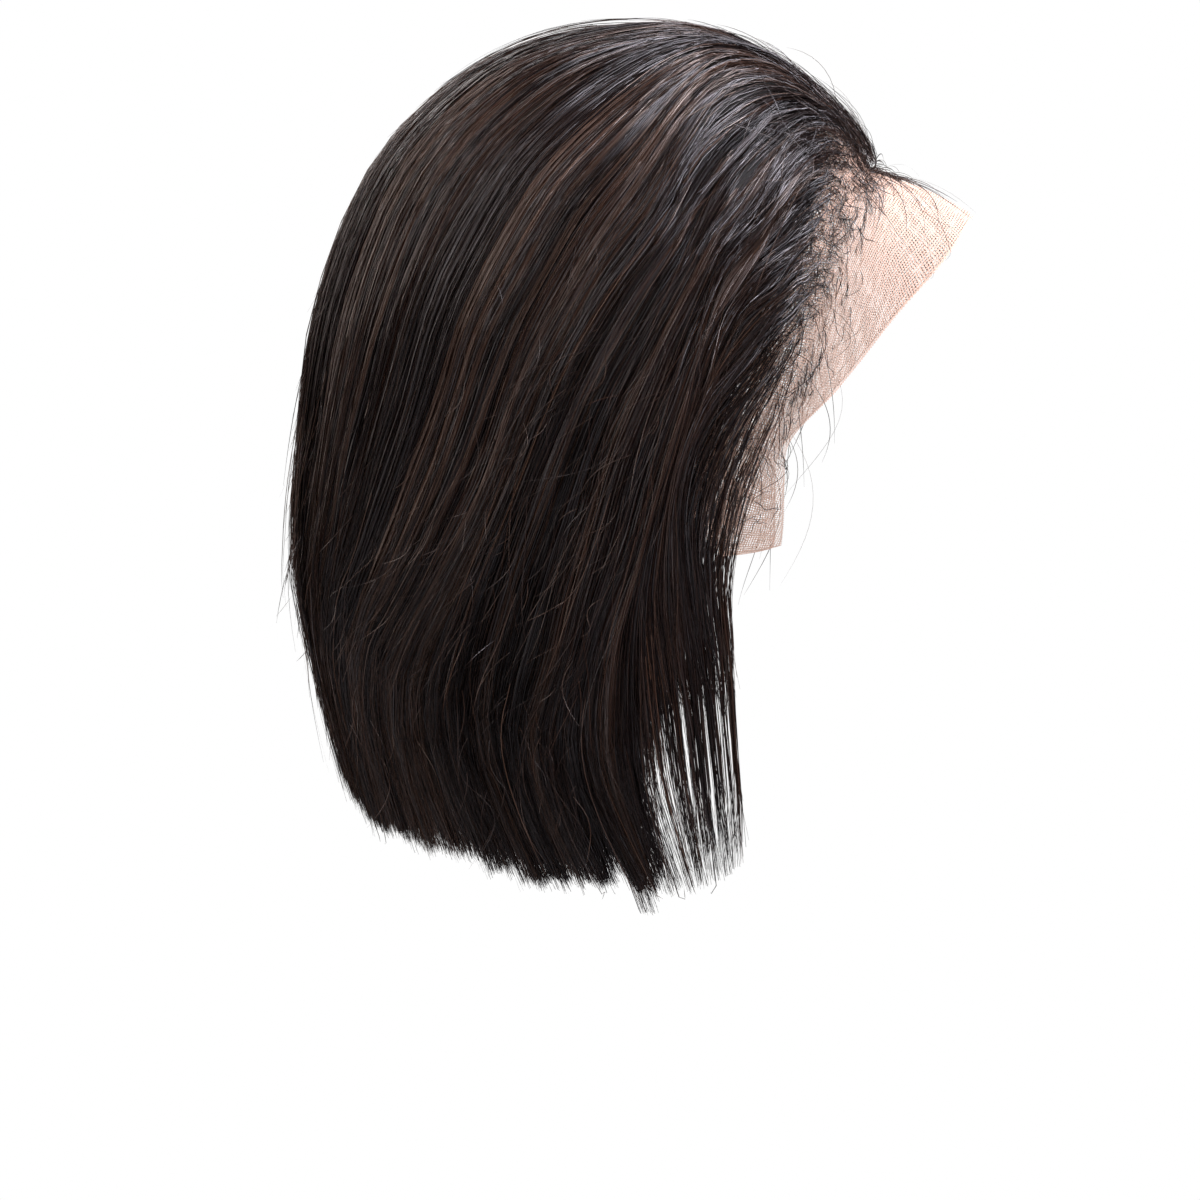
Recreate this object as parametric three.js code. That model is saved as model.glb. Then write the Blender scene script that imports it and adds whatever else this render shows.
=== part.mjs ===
// Bob wig on a lace-front cap, in millimetres, +Z up, face towards +X, wearer's right towards -Y
// The origin is the inside of the crown, where the cap sits on the head
import * as THREE from "three";

// Head that the cap fits, measured from the upright line through the crown
const headFront = 95;
const headBack = 97;
const headHalfWidth = 76;
const crownHeight = 95; // crown down to the widest level of the head
const jawDepth = 130; // widest level down to where the head form would close
const headPower = 2.3; // 2 is an ellipsoid, more is boxier

// Hair, as the height that it stands off the head
const topLift = 12;
const frontLift = 29;
const backLift = 32.5;
const sideLift = 16;
const fullnessDrop = 95; // widest level of the head down to the widest level of the hair
const hairFall = 117; // widest level of the hair down to the lowest tips
const hairWall = 15; // depth of the hair where it is full
const edgeWall = 2; // depth of the hair at the hairline and the front edges
const tipWall = 4; // depth of the hair at the hem
const rootRise = 40; // length from the hairline to full depth
const sidePower = 2.8; // roundness of the hair seen from the front
const frontPower = 2.15; // roundness of the front half seen from the side
const backPower = 2.35; // roundness of the back half seen from the side
const hemNarrowing = 0.07; // share of the width that the sides draw in by at the hem
const frontLand = 70.5; // azimuth where a front edge hangs at the hair's widest level
const frontRise = 24; // degrees from a front edge to full depth
const jawHug = 0.6; // how far the front edges follow the head in towards the jaw, 1 is all the way

// Locks: rounded ridges along the hair, each ending in a tip
const lockRise = 2.6;
const tipLength = 13;
const lockTable = [
  { height: 1.0, reach: 0.8 },
  { height: 0.6, reach: 0.45 },
  { height: 0.85, reach: 1.0 },
  { height: 0.5, reach: 0.6 },
  { height: 0.95, reach: 0.35 },
];
const lockColumns = [0, 0.72, 1, 0.72]; // height across one lock, which ends where the next begins

// Cap and lace
const capWall = 1.2;
const laceWall = 1;
const flapStand = 31.5; // how far the uncut lace stands off the forehead at its tip
const seatGap = 1.2; // cap to the hair's backing
const seamGap = 0.5; // lace to cap along the ear-to-ear seam
const panelGap = 0.4; // one hair panel to the next

// Steps of the meshes
const strandSteps = 64;
const fallSteps = 24;
const rowsOverHead = 13;
const rowsBelow = 5;
const laceColumns = 28;
const flapRows = 5;
const laceRows = 7;
const capRows = 9;

// Rows of a table, each with its values under the named columns
function tableOf(columns, ...rows) {
  return rows.map((row) => Object.fromEntries(columns.map((column, n) => [column, row[n]])));
}

// How the hair flows: one row for each chosen strand from a front edge to the middle of the back.
// land is its azimuth at the widest level, root its start on the hairline, bend the pull between them.
// sweep and fall are shares of hairFall, curl is how late the sweep comes.
const flowTable = tableOf(
  ["land", "rootAzimuth", "rootHeight", "bendAzimuth", "bendHeight", "sweep", "fall", "curl"],
  [frontLand, 52, 28.5, 63.5, 13, -0.02, 0.93, 2.4],
  [87, 38.5, 42, 76, 33, 0.1, 1, 2.2],
  [106, 25, 46.3, 91, 50, 0.24, 1, 2.1],
  [132, 12.5, 47.5, 116, 66, 0.27, 0.94, 1.9],
  [155, 5.5, 47.7, 143, 77, 0.235, 0.86, 1.5],
  [180, 0, 47.7, 180, 86, 0.2, 0.74, 1.3],
);

// Hair panels between two landing azimuths, right front edge round the back to the left one
const panelTable = [
  { name: "hair_right_front", from: frontLand, to: 92, locks: 3 },
  { name: "hair_right_side", from: 92, to: 120, locks: 4 },
  { name: "hair_right_back", from: 120, to: 152, locks: 4 },
  { name: "hair_back_centre", from: 152, to: 208, locks: 6 },
  { name: "hair_left_back", from: 208, to: 240, locks: 4 },
  { name: "hair_left_side", from: 240, to: 268, locks: 4 },
  { name: "hair_left_front", from: 268, to: 360 - frontLand, locks: 3 },
];

// Lace from the end of the right ear tab (across -1) to the middle of the forehead (across 0)
// Angles are seen from the middle of the head, stand is a share of flapStand.
// seamTurn is degrees from the crown towards the ear, seamFront the forward part of that direction.
const laceTable = tableOf(
  ["across", "edgeAzimuth", "edgeHeight", "stand", "rootAzimuth", "rootHeight", "seamTurn", "seamFront"],
  [-1, 44, -51, 0, 62.5, -55, 138, 0.2],
  [-0.85, 48.5, -40, 0, 58, -37, 121, 0.13],
  [-0.7, 49, -31, 0, 49, -19, 104, 0.07],
  [-0.5, 35, -16.7, 0, 40, 6, 80, 0.05],
  [-0.3, 23, -0.6, 0.28, 28, 24, 48, 0.05],
  [-0.14, 10.5, 12, 0.8, 14, 30, 22, 0.06],
  [0, 0, 16, 1, 0, 31, 0, 0.06],
);

// Lower edge of the cap from above the right ear (across -1) to the nape (across 0)
const earSeam = 0.7; // share of the lace's seam at which the cap ends, above the ear
const napeTable = tableOf(
  ["across", "azimuth", "height"],
  [-1, 101, -14],
  [-0.8, 114, -22],
  [-0.6, 130, -33],
  [-0.35, 151, -38],
  [0, 180, -38],
);

const hairMaterial = new THREE.MeshStandardMaterial({ color: 0x1b1512, roughness: 0.42, metalness: 0 });
const laceMaterial = new THREE.MeshStandardMaterial({ color: 0xc99a78, roughness: 0.85, metalness: 0 });
const capMaterial = new THREE.MeshStandardMaterial({ color: 0x4a3830, roughness: 0.9, metalness: 0 });

const headCentre = new THREE.Vector3(0, 0, -crownHeight);
const widestHair = -crownHeight - fullnessDrop;

// Value of a table's column at a key, on a smooth curve through its rows
function tableAt(table, keyName, column, key) {
  const last = table.length - 2;
  const found = table.findIndex((row, n) => n > 0 && key <= row[keyName]);
  const n = found < 1 ? last : found - 1;
  const slope = (i) => {
    const before = table[Math.max(i - 1, 0)];
    const after = table[Math.min(i + 1, table.length - 1)];
    return (after[column] - before[column]) / (after[keyName] - before[keyName]);
  };
  const span = table[n + 1][keyName] - table[n][keyName];
  const t = (key - table[n][keyName]) / span;
  const start = table[n][column];
  const rise = table[n + 1][column] - start;
  const lead = slope(n) * span;
  const leave = slope(n + 1) * span;
  return start + t * (lead + t * (3 * rise - 2 * lead - leave + t * (lead + leave - 2 * rise)));
}

// A table whose keys end at the middle, followed by its mirror image, so that it is smooth across it
// turns gives, for each column that changes sides, the sum of its two values
function bothSides(rows, turns) {
  const mirrored = rows.slice(0, -1).reverse().map((row) => {
    const other = { ...row };
    for (const [column, sum] of Object.entries(turns)) other[column] = sum - row[column];
    return other;
  });
  return [...rows, ...mirrored];
}
const flow = bothSides(flowTable, { land: 360, rootAzimuth: 0, bendAzimuth: 360 });
const lace = bothSides(laceTable, { across: 0, edgeAzimuth: 0, rootAzimuth: 0, seamTurn: 0 });
const nape = bothSides(napeTable, { across: 0, azimuth: 360 });
const flowAt = (column, land) => tableAt(flow, "land", column, land);
const laceAt = (column, across) => tableAt(lace, "across", column, across);
const napeAt = (column, across) => tableAt(nape, "across", column, across);

function smoothStep(t) {
  const held = Math.min(Math.max(t, 0), 1);
  return held * held * (3 - 2 * held);
}

// Unit direction at an azimuth from the face towards the wearer's right, and a height above level
function direction(azimuth, height) {
  const a = THREE.MathUtils.degToRad(azimuth);
  const h = THREE.MathUtils.degToRad(height);
  return new THREE.Vector3(Math.cos(h) * Math.cos(a), -Math.cos(h) * Math.sin(a), Math.sin(h));
}

// Distance from the middle of the head to its surface along a unit direction
function headReach(way) {
  const depth = way.x > 0 ? headFront : headBack;
  const rise = way.z > 0 ? crownHeight : jawDepth;
  const terms = [way.x / depth, way.y / headHalfWidth, way.z / rise];
  const total = terms.reduce((sum, term) => sum + Math.abs(term) ** headPower, 0);
  return total ** (-1 / headPower);
}

// Point of the upright line that a point of the hair is measured from
function spinePoint(point) {
  return new THREE.Vector3(0, 0, Math.min(point.z, headCentre.z));
}

// Distance from the upright line to where the hair lies on the head
// Below the widest level of the hair it falls straight
function wornReach(point) {
  const way = point.clone().sub(spinePoint(point)).normalize();
  const below = Math.min(Math.max(headCentre.z - point.z, 0), fullnessDrop);
  const narrowed = (1 - (below / jawDepth) ** headPower) ** (1 / headPower);
  return (1 - jawHug * (1 - narrowed)) * headReach(way);
}

// Point of the hair's full outline in a unit direction from the middle of its widest level
function fullPoint(way) {
  const up = Math.min(Math.max(way.z, 0), 1);
  const flat = Math.sqrt(Math.max(1 - up * up, 1e-9));
  const profilePower = way.x > 0 ? frontPower : backPower;
  const profile = (1 - up ** profilePower) ** (1 / profilePower) / flat;
  const front = (1 - up ** sidePower) ** (1 / sidePower) / flat;
  const depth = way.x > 0 ? headFront + frontLift : headBack + backLift;
  return new THREE.Vector3(
    depth * way.x * profile,
    (headHalfWidth + sideLift) * way.y * front,
    widestHair + (crownHeight + fullnessDrop + topLift) * up,
  );
}

// Fine points along the strand that lands at an azimuth, from the hairline to the hem
function strandPoints(land) {
  const root = direction(flowAt("rootAzimuth", land), flowAt("rootHeight", land));
  const bend = direction(flowAt("bendAzimuth", land), flowAt("bendHeight", land));
  const end = direction(land, 0);
  const way = new THREE.QuadraticBezierCurve3(root, bend, end);
  const points = way.getPoints(strandSteps).map((p) => fullPoint(p.normalize()));
  const from = points[strandSteps];
  const fall = hairFall * flowAt("fall", land);
  const sweep = hairFall * flowAt("sweep", land);
  const curl = flowAt("curl", land);
  const lead = from.clone().sub(points[strandSteps - 1]);
  lead.multiplyScalar(-fall / lead.z);
  for (let n = 1; n <= fallSteps; n++) {
    const s = n / fallSteps;
    const carried = s * (1 - s) ** 2;
    points.push(new THREE.Vector3(
      from.x + lead.x * carried + sweep * s ** curl,
      from.y * (1 - hemNarrowing * s) + lead.y * carried,
      from.z - fall * s,
    ));
  }
  return points;
}

// Running length at each of a row of points
function runningLengths(points) {
  const lengths = [0];
  for (let n = 1; n < points.length; n++) {
    lengths.push(lengths[n - 1] + points[n].distanceTo(points[n - 1]));
  }
  return lengths;
}

// Point at a running length
function pointAt(points, lengths, length) {
  const found = lengths.findIndex((reached) => reached >= length);
  const n = found < 1 ? (found < 0 ? lengths.length - 1 : 1) : found;
  const t = (length - lengths[n - 1]) / (lengths[n] - lengths[n - 1]);
  return points[n - 1].clone().lerp(points[n], t);
}

// Lengths from the hairline at which a strand has its mesh rows
function rowLengths(overHead, below) {
  const rows = [];
  for (let n = 0; n < rowsOverHead; n++) rows.push((overHead * n) / rowsOverHead);
  for (let n = 0; n <= rowsBelow; n++) rows.push(overHead + (below * n) / rowsBelow);
  return rows;
}

// One strand line of a panel as rows of outer and inner points
// ridge is the height across its lock, height and reach are the lock's own shares
function hairLine(land, ridge, lock) {
  const points = strandPoints(land);
  const lengths = runningLengths(points);
  const overHead = lengths[strandSteps];
  const whole = lengths[lengths.length - 1];
  const cut = tipLength * (1 - ridge * lock.reach);
  const fromEdge = Math.min(land, 360 - land) - frontLand;
  const inland = smoothStep(fromEdge / frontRise);
  return rowLengths(overHead, whole - overHead - cut).map((length) => {
    const point = pointAt(points, lengths, length);
    const spine = spinePoint(point);
    const way = point.clone().sub(spine);
    const full = way.length();
    way.normalize();
    const seat = wornReach(point) + capWall + seatGap;
    const grown = smoothStep(length / rootRise) * inland;
    const outer = Math.max(seat + edgeWall + (full - seat - edgeWall) * grown, seat + edgeWall);
    const towardsHem = smoothStep((length - overHead) / (whole - overHead));
    const wall = (edgeWall + (hairWall - edgeWall) * grown) * (1 - towardsHem) + tipWall * towardsHem;
    const inner = Math.max(seat, outer - wall);
    const groove = lockRise * (1 - ridge * lock.height) * smoothStep(length / overHead);
    const sunk = Math.min(groove, (outer - inner) / 2);
    return {
      outer: spine.clone().addScaledVector(way, outer - sunk),
      inner: spine.clone().addScaledVector(way, inner),
    };
  });
}

// Moves a panel's edge line towards its neighbouring line, which leaves the gap between two panels
function drawIn(line, neighbour) {
  line.forEach((row, n) => {
    for (const side of ["outer", "inner"]) {
      const step = neighbour[n][side].clone().sub(row[side]).setLength(panelGap / 2);
      row[side].add(step);
    }
  });
}

function hairPanel({ name, from, to, locks }, firstLock) {
  const perLock = lockColumns.length;
  const columns = locks * perLock;
  const lines = [];
  for (let n = 0; n <= columns; n++) {
    const land = from + ((to - from) * n) / columns;
    const lock = lockTable[(firstLock + Math.floor(n / perLock)) % lockTable.length];
    lines.push(hairLine(land, lockColumns[n % perLock], lock));
  }
  drawIn(lines[0], lines[1]);
  drawIn(lines[columns], lines[columns - 1]);
  const outer = lines.map((line) => line.map((row) => row.outer));
  const inner = lines.map((line) => line.map((row) => row.inner));
  return shellMesh(name, outer, inner, hairMaterial);
}

// Closed wall between two grids of points, columns by rows, whose rims are joined
function shellMesh(name, outer, inner, material) {
  const columns = outer.length;
  const rows = outer[0].length;
  const positions = [];
  for (const grid of [outer, inner]) {
    for (const line of grid) for (const point of line) positions.push(point.x, point.y, point.z);
  }
  const at = (side, column, row) => (side * columns + column) * rows + row;
  const faces = [];
  const quad = (a, b, c, d) => faces.push(a, b, c, a, c, d);
  for (let i = 0; i + 1 < columns; i++) {
    for (let j = 0; j + 1 < rows; j++) {
      quad(at(0, i, j), at(0, i + 1, j), at(0, i + 1, j + 1), at(0, i, j + 1));
      quad(at(1, i, j), at(1, i, j + 1), at(1, i + 1, j + 1), at(1, i + 1, j));
    }
    quad(at(0, i, 0), at(1, i, 0), at(1, i + 1, 0), at(0, i + 1, 0));
    quad(at(0, i, rows - 1), at(0, i + 1, rows - 1), at(1, i + 1, rows - 1), at(1, i, rows - 1));
  }
  for (let j = 0; j + 1 < rows; j++) {
    quad(at(0, 0, j), at(0, 0, j + 1), at(1, 0, j + 1), at(1, 0, j));
    const end = columns - 1;
    quad(at(0, end, j), at(1, end, j), at(1, end, j + 1), at(0, end, j + 1));
  }
  const geometry = new THREE.BufferGeometry();
  geometry.setAttribute("position", new THREE.Float32BufferAttribute(positions, 3));
  geometry.setIndex(faces);
  geometry.computeVertexNormals();
  const mesh = new THREE.Mesh(geometry, material);
  mesh.name = name;
  return mesh;
}

// The grid moved out by a wall along its own normals
function thickened(grid, wall) {
  const columns = grid.length;
  const rows = grid[0].length;
  return grid.map((line, i) => line.map((point, j) => {
    const along = grid[Math.min(i + 1, columns - 1)][j].clone().sub(grid[Math.max(i - 1, 0)][j]);
    const down = line[Math.min(j + 1, rows - 1)].clone().sub(line[Math.max(j - 1, 0)]);
    return point.clone().addScaledVector(along.cross(down).normalize(), wall);
  }));
}

// Point on the head, or standing off it, in a direction from its middle
function onHead(way, stand = 0) {
  return headCentre.clone().addScaledVector(way, headReach(way) + stand);
}

// Unit direction part of the way from one direction to another
function turned(from, to, share) {
  const angle = from.angleTo(to);
  const a = Math.sin((1 - share) * angle);
  const b = Math.sin(share * angle);
  return from.clone().multiplyScalar(a).addScaledVector(to, b).normalize();
}

// Direction of the ear-to-ear seam, from the wearer's right (across -1) to the left (across 1)
function seamWay(across) {
  const turn = THREE.MathUtils.degToRad(laceAt("seamTurn", across));
  return new THREE.Vector3(laceAt("seamFront", across), -Math.sin(turn), Math.cos(turn)).normalize();
}

function laceFront() {
  const grid = [];
  for (let n = 0; n <= laceColumns; n++) {
    const across = (2 * n) / laceColumns - 1;
    const edge = direction(laceAt("edgeAzimuth", across), laceAt("edgeHeight", across));
    const root = direction(laceAt("rootAzimuth", across), laceAt("rootHeight", across));
    const seam = seamWay(across);
    const stand = flapStand * Math.max(laceAt("stand", across), 0);
    const line = [];
    for (let row = 0; row < flapRows; row++) {
      const share = row / flapRows;
      line.push(onHead(turned(edge, root, share), stand * (1 - share)));
    }
    for (let row = 0; row <= laceRows; row++) line.push(onHead(turned(root, seam, row / laceRows)));
    grid.push(line);
  }
  return shellMesh("lace_front", thickened(grid, laceWall), grid, laceMaterial);
}

function wigCap() {
  const grid = [];
  for (let n = 0; n <= laceColumns; n++) {
    const across = (2 * n) / laceColumns - 1;
    const rim = direction(napeAt("azimuth", across), napeAt("height", across));
    const seam = seamWay(across * earSeam);
    seam.x -= seamGap / headReach(seam);
    seam.normalize();
    const line = [];
    for (let row = 0; row <= capRows; row++) line.push(onHead(turned(seam, rim, row / capRows)));
    grid.push(line);
  }
  return shellMesh("wig_cap", thickened(grid, capWall), grid, capMaterial);
}

function hair() {
  const group = new THREE.Group();
  let locksSoFar = 0;
  for (const panel of panelTable) {
    group.add(hairPanel(panel, locksSoFar));
    locksSoFar += panel.locks;
  }
  return group;
}

const wig = new THREE.Group();
wig.add(laceFront());
wig.add(wigCap());
wig.add(hair());

export default wig;
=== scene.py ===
import math

import bpy
import numpy as np
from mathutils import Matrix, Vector


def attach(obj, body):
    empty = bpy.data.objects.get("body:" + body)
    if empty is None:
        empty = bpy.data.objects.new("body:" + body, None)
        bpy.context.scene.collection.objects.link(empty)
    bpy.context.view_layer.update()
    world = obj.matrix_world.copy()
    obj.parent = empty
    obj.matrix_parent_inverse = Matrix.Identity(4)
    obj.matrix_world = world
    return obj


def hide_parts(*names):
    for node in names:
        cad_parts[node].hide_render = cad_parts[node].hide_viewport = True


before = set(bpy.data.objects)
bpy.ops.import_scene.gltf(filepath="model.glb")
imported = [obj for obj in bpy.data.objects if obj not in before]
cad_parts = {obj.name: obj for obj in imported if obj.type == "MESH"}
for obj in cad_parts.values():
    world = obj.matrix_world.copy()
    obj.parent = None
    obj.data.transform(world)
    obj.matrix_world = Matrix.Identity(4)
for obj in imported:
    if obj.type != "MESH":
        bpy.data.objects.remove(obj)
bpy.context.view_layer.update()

# Bob wig on a lace-front cap, in metres, +Z up, face towards +X, wearer's right towards -Y
# The hair is a field over two shares: where a strand lands round the head, and how far along it is
MM = 0.001
rng = np.random.default_rng(7)
scene = bpy.context.scene

# Head that the cap fits, and the hair's stand off it, as in the solids
HEAD_FRONT, HEAD_BACK, HEAD_HALF, CROWN = 95 * MM, 97 * MM, 76 * MM, 95 * MM
JAW_DEPTH = 130 * MM
HEAD_POWER = 2.3
TOP_LIFT, FRONT_LIFT, BACK_LIFT, SIDE_LIFT = 12 * MM, 29 * MM, 32.5 * MM, 16 * MM
FULLNESS_DROP = 95 * MM
HAIR_FALL = 117 * MM
HAIR_WALL, EDGE_WALL, TIP_WALL = 15 * MM, 2 * MM, 4 * MM
ROOT_RISE = 40 * MM
SIDE_POWER, FRONT_POWER, BACK_POWER = 2.8, 2.15, 2.35
HEM_NARROWING = 0.07
FRONT_LAND, BACK_LAND = 70.5, 289.5
FRONT_RISE = 24
JAW_HUG = 0.6
CAP_WALL, SEAT_GAP = 1.2 * MM, 1.2 * MM
FLAP_STAND = 31.5 * MM
WIDEST = -CROWN - FULLNESS_DROP

# Rounded locks along the hair, lower than in the solids because the strands are raised above them
LOCK_RISE = 1.2 * MM
LOCK_HEIGHTS = [1.0, 0.6, 0.85, 0.5, 0.95]

FLOW_COLUMNS = ["land", "root_az", "root_up", "bend_az", "bend_up", "sweep", "fall", "curl"]
FLOW = [
    [FRONT_LAND, 52, 28.5, 63.5, 13, -0.02, 0.93, 2.4],
    [87, 38.5, 42, 76, 33, 0.1, 1, 2.2],
    [106, 25, 46.3, 91, 50, 0.24, 1, 2.1],
    [132, 12.5, 47.5, 116, 66, 0.27, 0.94, 1.9],
    [155, 5.5, 47.7, 143, 77, 0.235, 0.86, 1.5],
    [180, 0, 47.7, 180, 86, 0.2, 0.74, 1.3],
]

# Panels: node, first and last landing azimuth, locks, strands
PANELS = [
    ("hair_right_front", FRONT_LAND, 92, 3, 3700),
    ("hair_right_side", 92, 120, 4, 5600),
    ("hair_right_back", 120, 152, 4, 5600),
    ("hair_back_centre", 152, 208, 6, 5400),
    ("hair_left_back", 208, 240, 4, 3900),
    ("hair_left_side", 240, 268, 4, 3800),
    ("hair_left_front", 268, BACK_LAND, 3, 2800),
]

# Landing azimuth, and the degrees that strands lie behind it at the shares of length in DRIFT_SHARES
DRIFT_SHARES = [0, 0.12, 0.25, 0.38, 0.5, 0.62, 0.74, 0.86, 1]
DRIFT = [
    [FRONT_LAND, 0, 0, 0, 0, 0, 0, 0, 0, 0],
    [78, -5, -1.5, 2, 5.5, 6.5, 1.5, -0.5, -1, -1],
    [86, -2.5, -1.5, 1, 1.5, 2, 1.5, 0.5, 1, 0.5],
    [95, 9, -3.5, -4, -5, -4.5, -3, 1.5, 5.5, 5],
    [106, 24, -6, -11, -10.5, -8.5, -7, -3.5, 4.5, 6],
    [120, 31, -4, -16, -15, -12, -9, -3.5, 4, 6],
    [135, 29.5, 5, -18, -20.5, -18.5, -15.5, -7.5, 7, 12],
    [150, 18, 6, -13, -17, -16, -13.5, -6.5, 6, 9],
    [165, 8, 3, -5, -7.5, -7.5, -6.5, -3, 2, 3],
    [180, 0, 0, 0, 0, 0, 0, 0, 0, 0],
]
DRIFT_COLUMNS = 120
AWAYS = np.linspace(FRONT_LAND, 180, DRIFT_COLUMNS)

LACE_COLUMNS = ["across", "edge_az", "edge_up", "stand", "root_az", "root_up", "seam_turn", "seam_front"]
LACE = [
    [-1, 44, -51, 0, 62.5, -55, 138, 0.2],
    [-0.85, 48.5, -40, 0, 58, -37, 121, 0.13],
    [-0.7, 49, -31, 0, 49, -19, 104, 0.07],
    [-0.5, 35, -16.7, 0, 40, 6, 80, 0.05],
    [-0.3, 23, -0.6, 0.28, 28, 24, 48, 0.05],
    [-0.14, 10.5, 12, 0.8, 14, 30, 22, 0.06],
    [0, 0, 16, 1, 0, 31, 0, 0.06],
]

FIELD_LANDS, FIELD_ROWS = 439, 121
SHARES = np.linspace(0, 1, FIELD_ROWS)
GRID_END = 1.001  # keeps a fractional column or row inside the last cell


# Tables

def both_sides(columns, rows, turns):
    """A table that ends at the middle, with its mirror image; turns sums each column that changes sides."""
    rows = np.array(rows, float)
    other = rows[-2::-1].copy()
    for name, total in turns.items():
        at = columns.index(name)
        other[:, at] = total - other[:, at]
    whole = np.vstack([rows, other])
    return {name: whole[:, n] for n, name in enumerate(columns)}


def curve(x, y, where):
    """Values at the given places on a smooth curve through x and y."""
    where = np.asarray(where, float)
    slope = np.gradient(y)
    slope[1:-1] = (y[2:] - y[:-2]) / (x[2:] - x[:-2])
    slope[0] = (y[1] - y[0]) / (x[1] - x[0])
    slope[-1] = (y[-1] - y[-2]) / (x[-1] - x[-2])
    n = np.clip(np.searchsorted(x, where, side="right") - 1, 0, len(x) - 2)
    span = x[n + 1] - x[n]
    t = (where - x[n]) / span
    rise = y[n + 1] - y[n]
    lead, leave = slope[n] * span, slope[n + 1] * span
    return y[n] + t * (lead + t * (3 * rise - 2 * lead - leave + t * (lead + leave - 2 * rise)))


FLOW_TABLE = both_sides(FLOW_COLUMNS, FLOW, {"land": 360, "root_az": 0, "bend_az": 360})
LACE_TABLE = both_sides(LACE_COLUMNS, LACE, {"across": 0, "edge_az": 0, "root_az": 0, "seam_turn": 0})


def flow_at(column, land):
    return curve(FLOW_TABLE["land"], FLOW_TABLE[column], land)


def lace_at(column, across):
    return curve(LACE_TABLE["across"], LACE_TABLE[column], across)


def smooth(x, start=0, over=1):
    """A smooth rise from 0 to 1 that begins at start."""
    t = np.clip((x - start) / over, 0, 1)
    return t * t * (3 - 2 * t)


def col(x):
    """Values as a column."""
    return x[:, None]


def draw(count, low=0, high=1):
    return rng.uniform(low, high, count)


def bell(count, spread=1.0):
    return rng.normal(0, spread, count)


def even(count):
    """Even steps from 0 to 1, as a row."""
    return np.linspace(0, 1, count)[None]


def run_along(points, axis):
    """Lengths run along one axis of a grid of points."""
    steps = norm(np.diff(points, axis=axis))
    start = np.zeros_like(np.take(steps, [0], axis=axis))
    return np.concatenate([start, np.cumsum(steps, axis=axis)], axis=axis)


def away_of(land):
    """Degrees between a landing azimuth and the face, on either side."""
    return np.minimum(land, 360 - land)


def between(grid, a, b):
    """Values of a grid at fractional columns and rows."""
    a = np.clip(a, 0, grid.shape[0] - GRID_END)
    b = np.clip(b, 0, grid.shape[1] - GRID_END)
    i, j = a.astype(int), b.astype(int)
    fa, fb = a - i, b - j
    if grid.ndim > 2:
        fa, fb = fa[..., None], fb[..., None]
    low = grid[i, j] * (1 - fb) + grid[i, j + 1] * fb
    high = grid[i + 1, j] * (1 - fb) + grid[i + 1, j + 1] * fb
    return low * (1 - fa) + high * fa


def norm(v):
    return np.linalg.norm(v, axis=-1)


def unit(v):
    return v / np.maximum(norm(v)[..., None], 1e-12)


def direction(azimuth, height):
    """Unit directions, from the face towards the wearer's right, and above level."""
    a, h = np.radians(azimuth), np.radians(height)
    return np.stack([np.cos(h) * np.cos(a), -np.cos(h) * np.sin(a), np.sin(h) + 0 * a], axis=-1)


# The head and the hair's full outline

CENTRE = np.array([0, 0, -CROWN])


def head_reach(way):
    depth = np.where(way[..., 0] > 0, HEAD_FRONT, HEAD_BACK)
    rise = np.where(way[..., 2] > 0, CROWN, JAW_DEPTH)
    total = sum(np.abs(way[..., axis] / size) ** HEAD_POWER
                for axis, size in enumerate((depth, HEAD_HALF, rise)))
    return total ** (-1 / HEAD_POWER)


def spine_of(points):
    spine = np.zeros_like(points)
    spine[..., 2] = np.minimum(points[..., 2], -CROWN)
    return spine


def worn_reach(points, way):
    below = np.clip(-CROWN - points[..., 2], 0, FULLNESS_DROP)
    narrowed = (1 - (below / JAW_DEPTH) ** HEAD_POWER) ** (1 / HEAD_POWER)
    return (1 - JAW_HUG * (1 - narrowed)) * head_reach(way)


def full_points(way):
    up = np.clip(way[..., 2], 0, 1)
    flat = np.sqrt(np.maximum(1 - up * up, 1e-9))
    power = np.where(way[..., 0] > 0, FRONT_POWER, BACK_POWER)
    profile = (1 - up ** power) ** (1 / power) / flat
    front = (1 - up ** SIDE_POWER) ** (1 / SIDE_POWER) / flat
    depth = np.where(way[..., 0] > 0, HEAD_FRONT + FRONT_LIFT, HEAD_BACK + BACK_LIFT)
    return np.stack([
        depth * way[..., 0] * profile,
        (HEAD_HALF + SIDE_LIFT) * way[..., 1] * front,
        WIDEST + (CROWN + FULLNESS_DROP + TOP_LIFT) * up,
    ], axis=-1)


def way_at(value_at, name, where):
    return direction(value_at(name + "_az", where), value_at(name + "_up", where))


def strand_lines(lands, over=64, below=24):
    """Fine points of the strands that land at the given azimuths, hairline to hem."""
    t = np.linspace(0, 1, over + 1)[None, :, None]
    root, bend = col(way_at(flow_at, "root", lands)), col(way_at(flow_at, "bend", lands))
    end = col(direction(lands, 0 * lands))
    head = full_points(unit((1 - t) ** 2 * root + 2 * t * (1 - t) * bend + t * t * end))
    start = head[:, -1]
    lead = start - head[:, -2]
    fall = HAIR_FALL * flow_at("fall", lands)
    lead = lead * col(-fall / lead[:, 2])
    sweep = HAIR_FALL * flow_at("sweep", lands)
    s = np.linspace(0, 1, below + 1)[None, 1:]
    carried = s * (1 - s) ** 2
    x = start[:, :1] + lead[:, :1] * carried + col(sweep) * s ** col(flow_at("curl", lands))
    y = start[:, 1:2] * (1 - HEM_NARROWING * s) + lead[:, 1:2] * carried
    z = start[:, 2:] - col(fall) * s
    return np.concatenate([head, np.stack([x, y, z], axis=-1)], axis=1), over


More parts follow.
